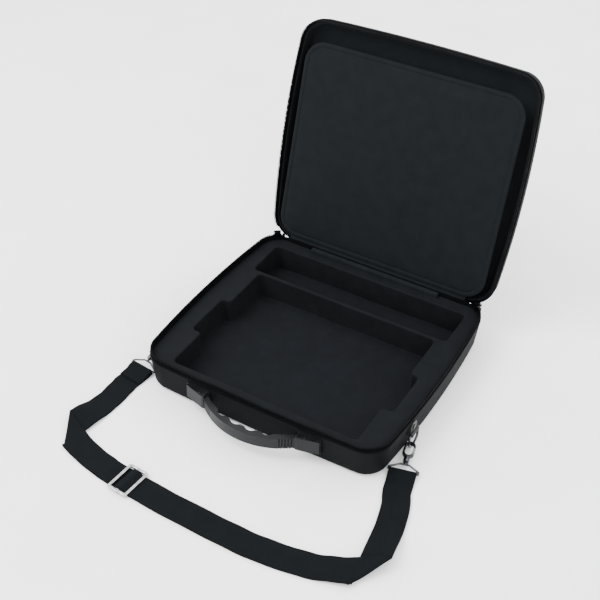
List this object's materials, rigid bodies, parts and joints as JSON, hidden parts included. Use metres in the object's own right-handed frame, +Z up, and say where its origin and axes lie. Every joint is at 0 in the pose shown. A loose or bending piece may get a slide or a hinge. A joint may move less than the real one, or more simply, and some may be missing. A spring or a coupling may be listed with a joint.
{
  "type": "zipped hard-shell carry case with shoulder strap",
  "caption": "Open black hard-shell carry case with a moulded two-bay tray, leaning lid divider, moulded grip handle and a clip-on webbing shoulder strap.",
  "frame": {"origin": "centre of the underside of the base", "axes": "+X to the right seen from the handle, +Y to the lid hinge, +Z up; handle on the -Y wall"},
  "size_m": [0.5251, 0.6927, 0.4139],
  "materials": {
    "eva_shell": "woven polyester laminate over moulded foam, matt",
    "tray_foam": "moulded tray with brushed fabric face",
    "rim_bead": "corded piping",
    "zip_tape": "woven tape",
    "zip_teeth": "nylon coil",
    "lining": "brushed lining",
    "divider_fabric": "padded fabric panel",
    "board": "stiffener sheet",
    "grip_plastic": "satin moulded plastic",
    "metal": "bright plated",
    "steel": "plain",
    "webbing": "woven polyester webbing",
    "tab_leather": "coated tab",
    "dark_metal": "black lacquered"
  },
  "bodies": {
    "base": {"base_shell": "eva_shell", "base_insert": "tray_foam", "base_piping": "rim_bead", "base_zip_tape": "zip_tape", "base_zip_teeth": "zip_teeth", "zip_end_stops": "dark_metal", "rear_hinge_fabric_lower": "zip_tape", "inner_hinge_strip": "lining", "handle_bracket_right": "grip_plastic", "handle_bracket_left": "grip_plastic", "handle_grip": "grip_plastic", "handle_pins": "steel", "handle_backing_plates": "board", "handle_rivets": "steel", "side_tab_right": "tab_leather", "side_tab_left": "tab_leather", "side_tab_rivets": "metal", "swivel_eye_right": "metal", "swivel_eye_left": "metal", "strap_loop_left": "webbing", "strap_loop_right": "webbing", "strap_webbing": "webbing", "strap_slider": "metal"},
    "lid": {"lid_shell": "eva_shell", "lid_lining": "lining", "lid_piping": "rim_bead", "lid_zip_tape": "zip_tape", "lid_zip_teeth": "zip_teeth", "rear_hinge_fabric_upper": "zip_tape", "divider_hinge_leaf": "lining"},
    "divider": {"divider_front_sheet": "divider_fabric", "divider_back_sheet": "divider_fabric", "divider_board": "board", "divider_binding": "divider_fabric", "divider_hinge_tape": "lining"},
    "d_ring_right": {"d_ring_right": "metal"},
    "snap_hook_right": {"snap_hook_right": "metal", "gate_pin_right": "steel"},
    "hook_gate_right": {"hook_gate_right": "steel"},
    "zip_slider_right": {"zip_slider_right": "dark_metal"},
    "zip_pull_right": {"zip_pull_right": "dark_metal"},
    "d_ring_left": {"d_ring_left": "metal"},
    "snap_hook_left": {"snap_hook_left": "metal", "gate_pin_left": "steel"},
    "hook_gate_left": {"hook_gate_left": "steel"},
    "zip_slider_left": {"zip_slider_left": "dark_metal"},
    "zip_pull_left": {"zip_pull_left": "dark_metal"}
  },
  "joints": [
    {"name": "lid", "type": "hinge", "parent": "base", "child": "lid", "pos_m": [0, 0.181, 0.0586], "axis": [-1, 0, 0], "range_deg": [-105.36, 0]},
    {"name": "divider", "type": "hinge", "parent": "lid", "child": "divider", "pos_m": [0, 0.18315, 0.06112], "axis": [1, 0, 0], "range_deg": [0, 105.5]},
    {"name": "zip_slider_right", "type": "hinge", "parent": "base", "child": "zip_slider_right", "pos_m": [0.16, 0.146, 0.0614], "axis": [0, 0, -1], "range_deg": [0, 40]},
    {"name": "zip_pull_right", "type": "hinge", "parent": "zip_slider_right", "child": "zip_pull_right", "pos_m": [0.18574, 0.18144, 0.0614], "axis": [0.809, -0.5878, 0], "range_deg": [0, 88]},
    {"name": "d_ring_right", "type": "hinge", "parent": "base", "child": "d_ring_right", "pos_m": [0.207, -0.091, 0.0295], "axis": [0, 1, 0], "range_deg": [-4, 1.5]},
    {"name": "hook_swivel_right", "type": "hinge", "parent": "base", "child": "snap_hook_right", "pos_m": [0.21494, -0.12965, 0.0073], "axis": [-0.2267, 0.9635, 0.1427], "range_deg": [-8, 8]},
    {"name": "hook_gate_right", "type": "hinge", "parent": "snap_hook_right", "child": "hook_gate_right", "pos_m": [0.21816, -0.11386, 0.00957], "axis": [0.0105, -0.1441, 0.9895], "range_deg": [0, 20], "stiffness_Nm_per_rad": 0.02, "springref_deg": -11.46},
    {"name": "zip_slider_left", "type": "hinge", "parent": "base", "child": "zip_slider_left", "pos_m": [-0.16, 0.146, 0.0614], "axis": [0, 0, 1], "range_deg": [0, 40]},
    {"name": "zip_pull_left", "type": "hinge", "parent": "zip_slider_left", "child": "zip_pull_left", "pos_m": [-0.18574, 0.18144, 0.0614], "axis": [0.809, 0.5878, 0], "range_deg": [0, 88]},
    {"name": "d_ring_left", "type": "hinge", "parent": "base", "child": "d_ring_left", "pos_m": [-0.207, -0.09923, 0.03425], "axis": [0, 0.5, -0.866], "range_deg": [-4, 3]},
    {"name": "hook_swivel_left", "type": "hinge", "parent": "base", "child": "snap_hook_left", "pos_m": [-0.21379, -0.14777, 0.0112], "axis": [0.098, 0.9259, 0.3649], "range_deg": [-8, 8]},
    {"name": "hook_gate_left", "type": "hinge", "parent": "snap_hook_left", "child": "hook_gate_left", "pos_m": [-0.20562, -0.13466, 0.01631], "axis": [0.0086, -0.3675, 0.93], "range_deg": [0, 20], "stiffness_Nm_per_rad": 0.02, "springref_deg": -11.46}
  ]
}
